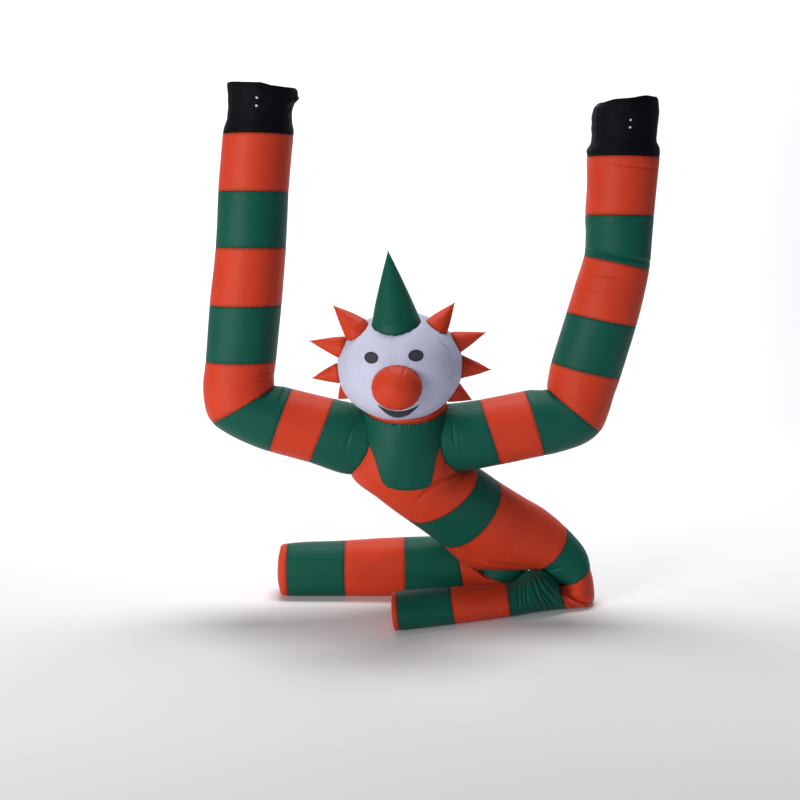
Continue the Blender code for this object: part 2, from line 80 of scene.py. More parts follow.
# How far off a neighbour draws pressed cloth, and how far round its edges counts as touching.
CONTACT_REACH = 0.070
EDGE_REACH = 0.010

# How a last ring is sewn on. Columns: groove depth and width, gather height and reach, the gathers' waves.
SEWN_ENDS = {
    "cone": (0.0035, 0.005, 0.0014, 0.035, 5, 8, 20),
    "nose": (0.004, 0.006, 0.0026, 0.05, 6, 9, 26),
    "shoulder": (0.006, 0.008, 0.004, 0.05, 6, 9, 24),
}

# Two rows of stitches beside a seam, painted shade along the seam's groove, the mottling and the weave.
STITCH_ROWS = (0.0085, 0.0135)
STITCH_WIDTH = 0.0013
STITCH_PITCH = 0.0052
STITCH_SHARE = 0.68
STITCH_SHADE = 0.35
MOTTLE = 0.26
FINE_MOTTLE = 0.10
STITCH_HEIGHT = 0.0006
# Painted shade in a seam's groove: how far from the seam it reaches, and how dark the cloth is at the seam.
PAINTED_SEAM_SHADE_WIDTH = 0.016
PAINTED_SEAM_SHADE = 0.62
WEAVE_PITCH = 0.0016
WEAVE_HEIGHT = 0.00012
CRUMPLE_HEIGHT = 0.0035
BUMP_STRENGTH = 0.55

# The cuffs: wall, loose folds, wrinkles, cross creases and hem.
CUFF_WALL = 0.004
CUFF_FOLD = 0.0035
CUFF_WRINKLE = 0.0011
CREASE_HEIGHT = 0.00096
CREASE_TURN = 95
HEM_PLACE = 0.030
HEM_DEPTH = 0.0018
HEM_WIDTH = 0.003
# The bunched cloth at the left cuff's mouth.
LUMP_SPREAD = 0.44
LUMP_DROP = 0.048
LUMP_REACH = 0.052
LUMP_HEIGHT = 0.036
# How far each mouth rises, from its left side to its right. Columns: place across from -1 to 1, rise.
MOUTH_RISE = {
    "left": ((-1.0, 0.004), (-0.4, 0.004), (0.1, 0.006), (0.4, -0.006), (0.8, -0.004), (1.0, 0.004)),
    "right": ((-1.0, 0.0), (-0.6, 0.006), (0.0, 0.006), (0.5, 0.013), (0.85, 0.006), (1.0, -0.020)),
}

# The photograph's camera. Pixels are those of an 800 x 800 frame.
CAMERA_PLACE = np.array((-0.19, -7.50, 2.51))
CAMERA_PITCH = math.radians(8.4)
FOCAL_PIXELS = 1183.0
SENSOR = 36.0
FRAME_PIXELS = 800.0
# How far a listed fold bows sideways, in pixels.
FOLD_BEND = 1.2

# Rings of each tube. Columns: the piece that ends there or "", x, y, z, half_width, half_depth, roll, lean.
LEFT_ARM = (
    ("mouth", -1.031, -0.140, 3.341, 0.200, 0.190, -4.2, 0),
    ("", -1.034, -0.135, 3.274, 0.195, 0.190, -1.7, 0),
    ("", -1.039, -0.130, 3.200, 0.193, 0.190, -0.9, 0),
    ("", -1.045, -0.125, 3.135, 0.199, 0.194, -0.9, 0),
    ("", -1.050, -0.120, 3.097, 0.210, 0.204, -0.8, 0),
    ("cuff", -1.055, -0.120, 3.055, 0.215, 0.208, -0.8, 0),
    ("", -1.075, -0.105, 2.888, 0.216, 0.210, 0.0, 0),
    ("red_1", -1.094, -0.090, 2.715, 0.216, 0.210, -0.4, 0),
    ("green_1", -1.120, -0.060, 2.372, 0.218, 0.212, -0.4, 0),
    ("red_2", -1.163, -0.030, 2.014, 0.225, 0.214, -0.4, 0),
    ("green_2", -1.204, 0.000, 1.656, 0.223, 0.214, -0.4, 0),
    ("", -1.221, 0.000, 1.535, 0.229, 0.214, 8.9, 0),
    ("", -1.215, 0.000, 1.432, 0.234, 0.212, 20.2, 0),
    ("red_3", -1.194, 0.000, 1.376, 0.230, 0.212, 30.5, 0),
    ("", -1.140, 0.000, 1.339, 0.218, 0.210, 43.9, 0),
    ("", -1.054, 0.000, 1.305, 0.216, 0.208, 57.6, 0),
    ("green_3", -0.955, 0.000, 1.272, 0.215, 0.208, 70.0, 0),
    ("red_4", -0.692, 0.000, 1.203, 0.220, 0.206, 68.9, 0),
    ("", -0.490, 0.000, 1.148, 0.232, 0.206, 74.0, 0),
    ("green_4", -0.300, 0.000, 1.140, 0.228, 0.200, 78.0, 0),
)
RIGHT_ARM = (
    ("mouth", 1.188, -0.140, 3.253, 0.184, 0.186, 4.6, 0),
    ("", 1.180, -0.135, 3.191, 0.200, 0.192, 0.0, 0),
    ("", 1.176, -0.130, 3.102, 0.199, 0.192, 0.0, 0),
    ("", 1.176, -0.125, 3.019, 0.197, 0.192, 0.0, 0),
    ("", 1.175, -0.120, 2.972, 0.219, 0.208, 0.0, 0),
    ("cuff", 1.175, -0.120, 2.921, 0.220, 0.210, -0.8, 0),
    ("", 1.173, -0.105, 2.746, 0.212, 0.208, -0.8, 0),
    ("red_1", 1.168, -0.090, 2.572, 0.210, 0.206, -0.4, 0),
    ("", 1.169, -0.080, 2.435, 0.204, 0.204, -2.6, 0),
    ("green_1", 1.163, -0.060, 2.277, 0.206, 0.206, -12.2, 0),
    ("", 1.124, -0.045, 2.102, 0.218, 0.210, -9.9, 0),
    ("red_2", 1.082, -0.030, 1.924, 0.222, 0.212, -11.5, 0),
    ("green_2", 0.995, 0.000, 1.596, 0.224, 0.212, -13.3, 0),
    ("", 0.965, 0.000, 1.477, 0.216, 0.210, -14.7, 0),
    ("", 0.948, 0.000, 1.399, 0.213, 0.210, -24.2, 0),
    ("red_3", 0.925, 0.000, 1.336, 0.215, 0.210, -38.7, 0),
    ("", 0.867, 0.000, 1.295, 0.215, 0.208, -53.2, 0),
    ("", 0.784, 0.000, 1.272, 0.215, 0.208, -63.3, 0),
    ("green_3", 0.671, 0.000, 1.252, 0.218, 0.208, -72.8, 0),
    ("red_4", 0.389, 0.000, 1.194, 0.220, 0.206, -71.5, 0),
    ("", 0.158, 0.000, 1.158, 0.224, 0.206, -76.0, 0),
    ("green_4", -0.030, 0.000, 1.148, 0.222, 0.200, -80.0, 0),
)
BODY = (
    ("top", -0.176, -0.100, 1.500, 0.225, 0.200, 0.7, 10),
    ("collar", -0.164, 0.000, 1.380, 0.276, 0.310, 0.7, 14),
    ("", -0.160, 0.000, 1.270, 0.284, 0.314, 1.0, 8),
    ("", -0.163, 0.000, 1.149, 0.295, 0.312, 1.3, 5),
    ("", -0.172, 0.005, 1.010, 0.338, 0.304, 1.6, 6),
    ("", -0.150, 0.015, 0.932, 0.350, 0.296, 4.0, 9),
    ("", -0.070, 0.032, 0.872, 0.303, 0.288, 14.0, 14),
    ("Chest", 0.073, 0.066, 0.784, 0.283, 0.272, 33.0, 20),
    ("Waist_green", 0.263, 0.145, 0.632, 0.281, 0.260, 47.0, 24),
    ("", 0.448, 0.205, 0.487, 0.298, 0.250, 45.6, 24),
    ("", 0.630, 0.245, 0.424, 0.250, 0.232, 49.1, 22),
    ("Pelvis", 0.785, 0.265, 0.366, 0.192, 0.207, 45.6, 18),
    ("", 0.920, 0.250, 0.255, 0.166, 0.185, 40.0, 10),
    ("Near_thigh", 0.986, 0.225, 0.194, 0.120, 0.170, 32.0, 4),
    ("", 0.996, 0.195, 0.137, 0.112, 0.165, 5.0, 1),
    ("", 0.992, 0.165, 0.061, 0.121, 0.162, -28.0, 0),
    ("", 0.921, 0.138, 0.056, 0.070, 0.160, -55.0, 0),
    ("Near_knee", 0.887, 0.118, 0.052, 0.058, 0.160, -78.0, 0),
    ("", 0.830, 0.094, 0.093, 0.102, 0.162, -81.0, 0),
    ("", 0.708, 0.040, 0.113, 0.122, 0.164, -83.0, 1),
    ("Near_shin_green_1", 0.519, -0.040, 0.090, 0.099, 0.165, -82.0, 2),
    ("Near_shin_red", 0.150, -0.190, 0.101, 0.110, 0.165, -81.0, 2),
    ("Near_shin_green_2", -0.195, -0.314, 0.108, 0.117, 0.160, -83.0, 3),
    ("", -0.226, -0.325, 0.108, 0.098, 0.130, -86.0, 4),
    ("Near_foot_cap", -0.237, -0.329, 0.108, 0.050, 0.065, -88.0, 4),
)
FAR_LEG = (
    ("top", 0.585, 0.265, 0.460, 0.130, 0.140, -4.0, 4),
    ("", 0.555, 0.290, 0.310, 0.150, 0.150, -8.0, 9),
    ("Far_thigh", 0.505, 0.325, 0.172, 0.160, 0.160, -15.0, 12),
    ("", 0.378, 0.356, 0.160, 0.178, 0.168, -52.0, 6),
    ("Far_knee", 0.222, 0.378, 0.188, 0.206, 0.172, -81.0, 0),
    ("Far_shin_green_1", -0.156, 0.380, 0.190, 0.203, 0.172, -89.0, 0),
    ("Far_shin_red", -0.565, 0.380, 0.178, 0.191, 0.168, -89.5, 0),
    ("Far_shin_green_2", -0.957, 0.380, 0.168, 0.180, 0.162, -89.0, 0),
    ("", -1.009, 0.380, 0.168, 0.146, 0.132, -90.0, 0),
    ("Far_foot_cap", -1.027, 0.380, 0.168, 0.073, 0.066, -90.0, 0),
)

WIDE_PIECES = ("Chest", "Waist_green", "Pelvis")
# Pieces pressed on others: the pieces they meet, and how often they are evened out.
PRESSED = {
    "Near_knee": (("Near_thigh",), 10),
    "Near_shin_green_1": (("Near_thigh", "Pelvis"), 3),
}

HEAD_CENTRE = np.array((-0.190, -0.250, 1.652))
HEAD_HALF = np.array((0.389, 0.360, 0.335))
HEAD_TILT = math.radians(3.3)
NOSE_CENTRE = np.array((-0.209, -0.585, 1.564))
NOSE_HALF = np.array((0.150, 0.150, 0.136))
NOSE_BASE_RADIUS = 0.138
# Puckers and grooves in the head where something is sewn on.
PUCKER_HEIGHT = 0.0016
PUCKER_REACH = 0.028
HEAD_GROOVE_DEPTH = 0.003
HEAD_GROOVE_WIDTH = 0.008

# Cones on the head. Columns: node, tip, middle of the base, base radius.
HORNS = (
    ("Hair_right_1", (0.143, -0.300, 2.046), (0.024, -0.330, 1.888), 0.082),
    ("Hair_right_2", (0.338, -0.260, 1.860), (0.156, -0.270, 1.800), 0.070),
    ("Hair_right_3", (0.373, -0.240, 1.627), (0.188, -0.250, 1.646), 0.076),
    ("Hair_right_4", (0.262, -0.150, 1.425), (0.145, -0.180, 1.482), 0.070),
    ("Hair_left_1", (-0.596, -0.300, 2.028), (-0.459, -0.330, 1.890), 0.084),
    ("Hair_left_2", (-0.748, -0.260, 1.808), (-0.553, -0.270, 1.770), 0.069),
    ("Hair_left_3", (-0.735, -0.240, 1.574), (-0.575, -0.250, 1.607), 0.064),
    ("Hair_left_4", (-0.579, -0.150, 1.430), (-0.525, -0.170, 1.485), 0.056),
)
HAT = ("Hat", (-0.262, -0.355, 2.360), (-0.214, -0.368, 1.920), 0.154)
# How far a cone runs on into the head before it is cut, how it bulges, its rounded tip, and its soft dents.
CONE_SINK = 0.16
CONE_BULGE = 0.035
TIP_ROUND = 0.004
DENT_HEIGHT = 0.0022

# Flat patches on the head. Columns: node, centre x, centre z, half width, half height.
EYES = (
    ("Eye_left", -0.359, 1.737, 0.041, 0.034),
    ("Eye_right", -0.097, 1.752, 0.045, 0.034),
)
MOUTH_LEFT = -0.323
MOUTH_RIGHT = -0.076
MOUTH_CORNER_Z = 1.451
MOUTH_TOP_SAG = 0.043
MOUTH_BOTTOM_SAG = 0.094
MOUTH_FLAT = (0.247, 0.094)
MOUTH_AREA = 0.0125

# The chest panel's two side edges, seen from the front, from the collar down. Columns: z, left x, right x.
PANEL = (
    (1.370, -0.436, 0.114),
    (1.287, -0.432, 0.109),
    (1.170, -0.393, 0.074),
    (1.080, -0.350, 0.037),
    (0.948, -0.309, 0.012),
    (0.890, -0.288, 0.008),
)
PANEL_SAG = 0.018
PANEL_TOP_SAG = 0.075
PANEL_CORNER = 0.022
PANEL_GATHER = 0.0045
PANEL_FLAT = (0.56, 0.50)
PANEL_AREA = 0.215

# Folds on the front of each piece. Columns: start and end in the photograph's pixels, depth, half width.
FOLDS = {
    "Arm_left_red_3": (
        ((254, 374), (277, 371), 0.004, 0.008),
        ((251, 381), (276, 377), 0.004, 0.008),
    ),
    "Arm_right_green_1": (
        ((586, 250), (650, 262), 0.014, 0.014),
        ((600, 226), (648, 221), 0.004, 0.010),
        ((592, 233), (640, 239), 0.004, 0.010),
    ),
    "Arm_right_red_2": (
        ((584, 272), (622, 276), 0.006, 0.016),
        ((575, 284), (600, 292), 0.006, 0.014),
    ),
    "Arm_right_red_1": (((604, 160), (657, 168.5), 0.007, 0.011),),
    "Arm_right_red_3": (
        ((552, 372), (572, 379), 0.004, 0.008),
        ((550, 380), (574, 387), 0.005, 0.009),
    ),
    "Arm_right_green_4": (
        ((452, 418), (458, 458), 0.006, 0.010),
        ((460, 434), (464, 462), 0.005, 0.009),
    ),
    "Arm_left_green_4": (((356, 420), (345, 452), 0.006, 0.011),),
    "Chest": (
        ((458, 472), (422, 495), 0.016, 0.018),
        ((440, 486), (412, 505), 0.008, 0.016),
        ((452, 448), (444, 474), 0.006, 0.013),
        ((358, 462), (372, 482), 0.006, 0.013),
    ),
    "Pelvis": (
        ((462, 546), (486, 562), 0.016, 0.017),
        ((486, 562), (524, 566), 0.010, 0.014),
        ((478, 541), (508, 558), 0.006, 0.018),
    ),
    "Near_thigh": (((535, 572), (566, 566), 0.007, 0.015),),
    "Near_knee": (
        ((563, 592), (594, 605), 0.016, 0.015),
        ((566, 598), (580, 608), 0.006, 0.010),
    ),
    "Near_shin_green_1": (
        ((534, 575), (557, 609), 0.008, 0.010),
        ((531, 576), (545, 612), 0.007, 0.008),
        ((526, 580), (530, 613), 0.005, 0.008),
        ((519, 584), (520, 610), 0.005, 0.008),
        ((541, 578), (563, 603), 0.006, 0.009),
        ((536, 578), (551, 611), 0.006, 0.006),
        ((523, 583), (525, 612), 0.005, 0.006),
        ((546, 577), (565, 595), 0.006, 0.008),
    ),
    "Nose": (
        ((384, 366), (392, 378), 0.004, 0.008),
        ((396, 364), (397, 376), 0.004, 0.008),
        ((408, 367), (403, 377), 0.004, 0.008),
    ),
    "Head": (
        ((347, 345), (352, 336), 0.007, 0.007),
        ((352, 352), (360, 340), 0.007, 0.007),
        ((360, 343), (368, 330), 0.007, 0.007),
        ((344, 358), (350, 346), 0.007, 0.007),
        ((440, 340), (452, 352), 0.007, 0.007),
        ((448, 352), (456, 366), 0.007, 0.007),
        ((446, 378), (457, 370), 0.007, 0.007),
    ),
    "Hat": (
        ((384, 292), (378, 318), 0.003, 0.010),
        ((400, 300), (406, 322), 0.003, 0.010),
    ),
}

# The floor and the wall behind it, which a curve joins.
FLOOR_REACH = 25.0
WALL_START = 7.0
COVE = 4.0
WALL_TOP = 14.0
FLOOR_DROP = 0.0005

# Cloth colours. Columns: slot, red, green and blue, roughness, gloss.
COLOURS = (
    ("fabric_red", (0.53, 0.040, 0.012), 0.52, 0.17),
    ("fabric_green", (0.0015, 0.075, 0.050), 0.50, 0.15),
    ("fabric_black", (0.0024, 0.0027, 0.0050), 0.62, 0.07),
    ("fabric_white", (0.50, 0.515, 0.66), 0.55, 0.25),
    ("fabric_grey", (0.040, 0.042, 0.050), 0.60, 0.15),
)


class Nodes:
    """A new material, and short calls for its nodes and links."""

    def __init__(self, name):
        self.material = bpy.data.materials.new(name)
        self.material.use_nodes = True
        self.tree = self.material.node_tree
        self.shader = self.tree.nodes["Principled BSDF"]

    def put(self, node, key, value):
        """Sets a node's input to a value, or links it to another node."""
        if isinstance(value, bpy.types.NodeSocket):
            self.tree.links.new(value, node.inputs[key])
        else:
            node.inputs[key].default_value = value

    def add(self, kind, inputs=(), **values):
        node = self.tree.nodes.new(kind)
        for key, value in values.items():
            setattr(node, key, value)
        for key, value in inputs:
            self.put(node, key, value)
        return node

    def math(self, operation, first, second=0.0, third=0.0):
        inputs = ((0, first), (1, second), (2, third))
        return self.add("ShaderNodeMath", inputs, operation=operation).outputs[0]

    def noise(self, place, scale, detail):
        inputs = (("Vector", place), ("Scale", scale), ("Detail", detail))
        return self.add("ShaderNodeTexNoise", inputs).outputs[0]

    def vary(self, value, spread, middle=1.0):
        """Turns a value from 0 to 1 into one that spreads evenly round a middle."""
        return self.math("MULTIPLY_ADD", value, spread, middle - spread / 2)

    def grey(self, tone):
        return self.add("ShaderNodeCombineColor", ((0, tone), (1, tone), (2, tone))).outputs[0]


def stitches(nodes, along, seam):
    """1 on a stitch of the rows beside a seam, and 0 elsewhere."""
    rows = 0.0
    for offset in STITCH_ROWS:
        away = nodes.math("ABSOLUTE", nodes.math("SUBTRACT", seam, offset))
        on_row = nodes.math("LESS_THAN", away, STITCH_WIDTH / 2)
        turn = nodes.math("FRACT", nodes.math("DIVIDE", along, STITCH_PITCH))
        dash = nodes.math("LESS_THAN", turn, STITCH_SHARE)
        rows = nodes.math("MAXIMUM", rows, nodes.math("MULTIPLY", on_row, dash))
    return rows


def cloth_material(slot, colour, roughness, gloss):
    """Woven polyester: a fine weave, soft mottling, painted shade in the groove of each sewn edge, with two
    rows of stitches beside it.
    """
    nodes = Nodes(f"Cloth {slot}")
    uv = nodes.add("ShaderNodeUVMap", uv_map="Cloth").outputs[0]
    across, along = nodes.add("ShaderNodeSeparateXYZ", ((0, uv),)).outputs[:2]
    place = nodes.add("ShaderNodeTexCoord").outputs["Object"]
    seam = nodes.add("ShaderNodeAttribute", attribute_name="seam").outputs["Fac"]
    mottle = nodes.noise(place, 5.0, 4.0)
    fine = nodes.noise(place, 60.0, 3.0)
    crumple = nodes.noise(place, 22.0, 5.0)
    rows = stitches(nodes, across, seam)

    # Painted shade: the cloth darkens towards each seam, along the groove where shade falls. The mottling
    # and the stitches multiply into the same tone.
    painted_shade_limits = (("From Min", 0.0), ("From Max", PAINTED_SEAM_SHADE_WIDTH), ("To Min", PAINTED_SEAM_SHADE), ("To Max", 1.0))
    edge = nodes.add("ShaderNodeMapRange", (("Value", seam), *painted_shade_limits)).outputs[0]
    tone_and_painted_seam_shade = nodes.math("MULTIPLY", nodes.vary(mottle, MOTTLE), nodes.vary(fine, FINE_MOTTLE))
    tone_and_painted_seam_shade = nodes.math("MULTIPLY", tone_and_painted_seam_shade, edge)
    tone_and_painted_seam_shade = nodes.math("MULTIPLY", tone_and_painted_seam_shade, nodes.math("MULTIPLY_ADD", rows, -STITCH_SHADE, 1.0))
    tints = ((0, 1.0), (6, (*colour, 1.0)), (7, nodes.grey(tone_and_painted_seam_shade)))
    mix = nodes.add("ShaderNodeMix", tints, data_type="RGBA", blend_type="MULTIPLY")

    turns = 2 * math.pi / WEAVE_PITCH
    warp = nodes.math("SINE", nodes.math("MULTIPLY", across, turns))
    weft = nodes.math("SINE", nodes.math("MULTIPLY", along, turns))
    crumple = nodes.math("MULTIPLY", crumple, CRUMPLE_HEIGHT)
    height = nodes.math("MULTIPLY_ADD", nodes.math("MULTIPLY", warp, weft), WEAVE_HEIGHT, crumple)
    height = nodes.math("MULTIPLY_ADD", rows, STITCH_HEIGHT, height)
    relief = (("Height", height), ("Strength", BUMP_STRENGTH), ("Distance", 1.0))
    looks = (
        ("Base Color", mix.outputs[2]),
        ("Roughness", nodes.vary(fine, 0.16, roughness)),
        ("Normal", nodes.add("ShaderNodeBump", relief).outputs[0]),
        ("Sheen Weight", 0.02),
        ("Sheen Roughness", 0.45),
        ("Specular IOR Level", gloss),
    )
    for key, value in looks:
        nodes.put(nodes.shader, key, value)
    return nodes.material


def stud_material():
    """Dull plated metal with small scratches."""
    nodes = Nodes("Stud plate")
    noise = nodes.noise(nodes.add("ShaderNodeTexCoord").outputs["Object"], 900.0, 4.0)
    nodes.put(nodes.shader, "Metallic", 0.85)
    nodes.put(nodes.shader, "Base Color", nodes.grey(nodes.vary(noise, 0.20, 0.65)))
    nodes.put(nodes.shader, "Roughness", nodes.vary(noise, 0.30, 0.37))
    return nodes.material


MATERIALS = {slot: cloth_material(slot, *look) for slot, *look in COLOURS}
MATERIALS["stud_metal"] = stud_material()


def seam_row(table, name):
    return next(index for index, row in enumerate(table) if row[0] == name)


def stripes(table, top, slots=("fabric_red", "fabric_green")):
    """Each stripe's name, first row, last row and slot, below a table's top seam. The slots take turns."""
    start, count = seam_row(table, top), 0
    for end, row in enumerate(table):
        if row[0] and end > start:
            yield row[0], start, end, slots[count % 2]
            start, count = end, count + 1


def full_turn(count):
    return np.linspace(0, 2 * math.pi, count, endpoint=False)


def rows_at(table, stations):
    """The table's columns at whole and part rows, on a smooth curve through its rows."""
    values = np.array([row[1:] for row in table], dtype=float)
    last = len(table) - 1
    low = np.clip(np.floor(stations).astype(int), 0, last - 1)
    share = (stations - low)[:, None]
    a, b, c, d = (values[np.clip(low + step, 0, last)] for step in (-1, 0, 1, 2))
    square = 2 * a - 5 * b + 4 * c - d
    cube = 3 * b - a - 3 * c + d
    return b + 0.5 * share * (c - a + share * (square + share * cube))


def wander(values, count, low, high, seed, whole=False):
    """A smooth uneven wave: a few sines of random phase, with low to high radians to each unit."""
    draw = np.random.default_rng(seed)
    pitch = draw.integers if whole else draw.uniform
    total = np.zeros_like(values)
    for _ in range(count):
        total += np.sin(values * pitch(low, high) + draw.uniform(0, 2 * math.pi))
    return total / math.sqrt(count)


def even_wave(angles, *shape):
    """The same round a tube, in whole waves so that it closes."""
    return wander(angles, *shape, whole=True)


def pixels(points):
    """The photograph's pixel of each point, before the origin is moved."""
    away = points - CAMERA_PLACE
    forward = np.array((0.0, math.cos(CAMERA_PITCH), -math.sin(CAMERA_PITCH)))
    upward = np.array((0.0, math.sin(CAMERA_PITCH), math.cos(CAMERA_PITCH)))
    depth = away @ forward
    across = FRAME_PIXELS / 2 + FOCAL_PIXELS * away[..., 0] / depth
    down = FRAME_PIXELS / 2 - FOCAL_PIXELS * (away @ upward) / depth
    return np.stack((across, down), axis=-1), depth


def fold_depth(name, points, normals):
    """How far a piece's listed folds press each front point in."""
    place, depth = pixels(points)
    total = np.zeros(points.shape[:-1])
    facing = np.clip(-normals[..., 1] * 3.0, 0.0, 1.0)
    for start, end, height, width in FOLDS.get(name, ()):
        first, last = np.array(start, float), np.array(end, float)
        along = last - first
        share = np.clip(((place - first) @ along) / (along @ along), 0.0, 1.0)
        bend = np.sin(share * math.pi) * FOLD_BEND
        side = np.array((-along[1], along[0])) / np.linalg.norm(along)
        nearest = first + share[..., None] * along + side * bend[..., None]
        away = np.linalg.norm(place - nearest, axis=-1) * depth / FOCAL_PIXELS / width
        taper = np.sqrt(np.clip(np.sin(np.clip(share, 0.04, 0.96) * math.pi), 0.0, 1.0))
        # The groove has a low swelling along each side.
        total += height * taper * (1.0 - 0.9 * away**2) * np.exp(-(away**2)) * facing
    return total


def grid_normals(grid):
    """Outward normals of a grid of rings."""
    along = np.gradient(grid, axis=0)
    around = np.roll(grid, -1, axis=1) - np.roll(grid, 1, axis=1)
    normals = np.cross(around, along)
    normals /= np.maximum(np.linalg.norm(normals, axis=-1, keepdims=True), 1e-12)
    outward = grid - grid.mean(axis=1, keepdims=True)
    if np.sum(normals * outward) < 0:
        normals = -normals
    return normals


def ring_places(table, first, last, spacing):
    """Where a tube's rings are along it, closer together at its seams, and the table's columns there."""
    fine = np.linspace(first, last, 500)
    steps = np.linalg.norm(np.diff(rows_at(table, fine)[:, :3], axis=0), axis=1)
    travel = np.concatenate(((0.0,), np.cumsum(steps)))
    marks, total = np.array(SEAM_MARKS), travel[-1]
    count = max(2, round((total - 2 * marks[-1]) / spacing))
    middle = np.linspace(marks[-1], total - marks[-1], count)
    places = np.concatenate((marks[:-1], middle, (total - marks[:-1])[::-1]))
    return places, rows_at(table, np.interp(places, travel, fine))


def tube_grid(table, first, last, sides=SIDES, spacing=SPACING):
    """Rings of a tube between two rows of its table, with their columns, places along it and angles."""
    places, rows = ring_places(table, first, last, spacing)
    roll, lean = np.radians(rows[:, 5]), np.radians(rows[:, 6])
    zero = np.zeros_like(roll)
    chord = np.stack((np.cos(roll), zero, np.sin(roll)), axis=1)
    upward = np.stack((-np.sin(roll), zero, np.cos(roll)), axis=1)
    depth = np.stack((zero, np.cos(lean), zero), axis=1) + upward * np.sin(lean)[:, None]
    axis = np.cross(chord, depth)
    angles = full_turn(sides)
    grid = rows[:, None, :3] + chord[:, None] * (rows[:, 3, None] * np.cos(angles))[..., None]
    grid = grid + depth[:, None] * (rows[:, 4, None] * np.sin(angles))[..., None]
    for end, inner in ((0, 1), (-1, -2)):
        side = np.sign((rows[inner, :3] - rows[end, :3]) @ axis[end])
        grid[end] += axis[end] * side * GAP / 2
    return grid, rows, places, angles


def seam_distance(places, ends):
    """How far each ring is from the nearest sewn end. An end that isn't sewn counts as 1 m away."""
    away = np.full_like(places, 1.0)
    if ends[0]:
        away = np.minimum(away, places)
    if ends[1]:
        away = np.minimum(away, places[-1] - places)
    return away


def bend_folds(places, angles, squeeze, height, number):
    """Cross folds on the inside of a bend, where the rings are squeezed together."""
    squeeze[:FOLD_RAMP] *= np.linspace(0, 1, FOLD_RAMP)[:, None]
    squeeze[-FOLD_RAMP:] *= np.linspace(1, 0, FOLD_RAMP)[:, None]
    phase = 2 * math.pi * places[:, None] / FOLD_PITCH
    phase = phase + 1.9 * even_wave(angles, 4, 1, 7, number * 11 + 5)
    phase = phase + 1.2 * wander(places, 3, 9, 30, number)[:, None]
    return height * np.minimum(squeeze, MOST_SQUEEZE) * np.sin(phase)


def inflate(name, grid, rows, places, angles, number, gather=GATHER_HEIGHT, ends=(True, True), folds=1.0):
    """Presses seams, gathers, folds and billows into a tube's rings. The number seeds its waves."""
    normals = grid_normals(grid)
    seed = number * 11
    to_seam = seam_distance(places, ends)
    shift = -SEAM_DEPTH * np.exp(-to_seam / SEAM_WIDTH)[:, None] * np.ones_like(angles)
    pucker = even_wave(angles, 7, 16, 44, seed + 1)[None, :] * np.cos(to_seam * GATHER_TURN)[:, None]
    pucker = pucker + 0.5 * even_wave(angles, 5, 30, 62, seed + 2)
    shift = shift + gather * pucker * np.exp(-to_seam / GATHER_REACH)[:, None]
    billow = even_wave(angles, 3, 1, 5, seed + 3)[None, :] * wander(places, 3, 4, 16, seed + 4)[:, None]
    shift = shift + BILLOW_HEIGHT * billow * (1 - np.exp(-to_seam / BILLOW_FADE))[:, None]
    own = np.linalg.norm(np.gradient(grid, axis=0), axis=-1)
    centre = np.linalg.norm(np.gradient(rows[:, :3], axis=0), axis=1)[:, None]
    squeeze = np.clip(1.0 - own / centre, 0.0, 1.0)
    shift = shift + bend_folds(places, angles, squeeze, folds * FOLD_HEIGHT, number)
    shift = shift - fold_depth(name, grid, normals)
    crowded = np.clip(own / (CROWDED * centre), 0.0, 1.0)
    return grid + normals * (shift * crowded)[..., None]


def sewn_end(kind, places, angles, seed):
    """The groove and gathers where a piece's last ring is sewn on. The last ring itself stays."""
    depth, width, height, reach, *waves = SEWN_ENDS[kind]
    to_end = places[-1] - places
    shift = -depth * np.exp(-to_end / width)[:, None] * np.ones_like(angles)
    shift = shift + height * even_wave(angles, *waves, seed) * np.exp(-to_end / reach)[:, None]
    shift[-1] = 0.0
    return shift


def add_piece(name, points, faces, slot, uv, seam):
    """A smooth closed mesh in the frame's own place, which stands for its CAD node."""
    mesh = bpy.data.meshes.new(name)
    mesh.from_pydata((points - ORIGIN).tolist(), [], faces)
    mesh.validate()
    loops = np.empty(len(mesh.loops), dtype=np.int32)
    mesh.loops.foreach_get("vertex_index", loops)
    layer = mesh.uv_layers.new(name="Cloth")
    layer.data.foreach_set("uv", uv[loops].astype(np.float32).ravel())
    distances = mesh.attributes.new("seam", "FLOAT", "POINT")
    distances.data.foreach_set("value", seam.astype(np.float32))
    mesh.shade_smooth()
    mesh.set_sharp_from_angle(angle=math.radians(60))
    mesh.materials.append(MATERIALS[slot])
    obj = bpy.data.objects.new(f"{name}_cloth", mesh)
    bpy.context.scene.collection.objects.link(obj)
    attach(obj, "root")
    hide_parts(name)
    return obj


def ring_faces(levels, sides, flip):
    """The faces between neighbouring rings."""
    start = np.arange(levels - 1)[:, None] * sides
    low = (start + np.arange(sides)[None, :]).ravel()
    high = (start + (np.arange(sides)[None, :] + 1) % sides).ravel()
    quads = np.stack((low, high, high + sides, low + sides), axis=1)
    return (quads[:, ::-1] if flip else quads).tolist()


def turned_in(grid, normals, ring):
    """Whether faces made in the order of the rings look inwards."""
    around = np.cross(np.roll(grid[ring], -1, axis=0) - grid[ring], grid[ring + 1] - grid[ring])
    return np.sum(around * normals[ring]) < 0


def cloth_uv(angles, radius, places):
    """The flat place of each point of a tube's cloth, in metres."""
    return np.stack(np.broadcast_arrays(angles[None, :] * radius, places[:, None]), axis=-1).reshape(-1, 2)


def cap_faces(inner, fresh, forwards):
    """The faces between two rings of an end cap, or between a ring and the cap's centre."""
    faces = []
    for step in range(len(inner)):
        following = (step + 1) % len(inner)
        face = (inner[step], inner[following], fresh[0])
        if len(fresh) > 1:
            face = (inner[step], inner[following], fresh[following], fresh[step])
        faces.append(face if forwards else face[::-1])
    return faces


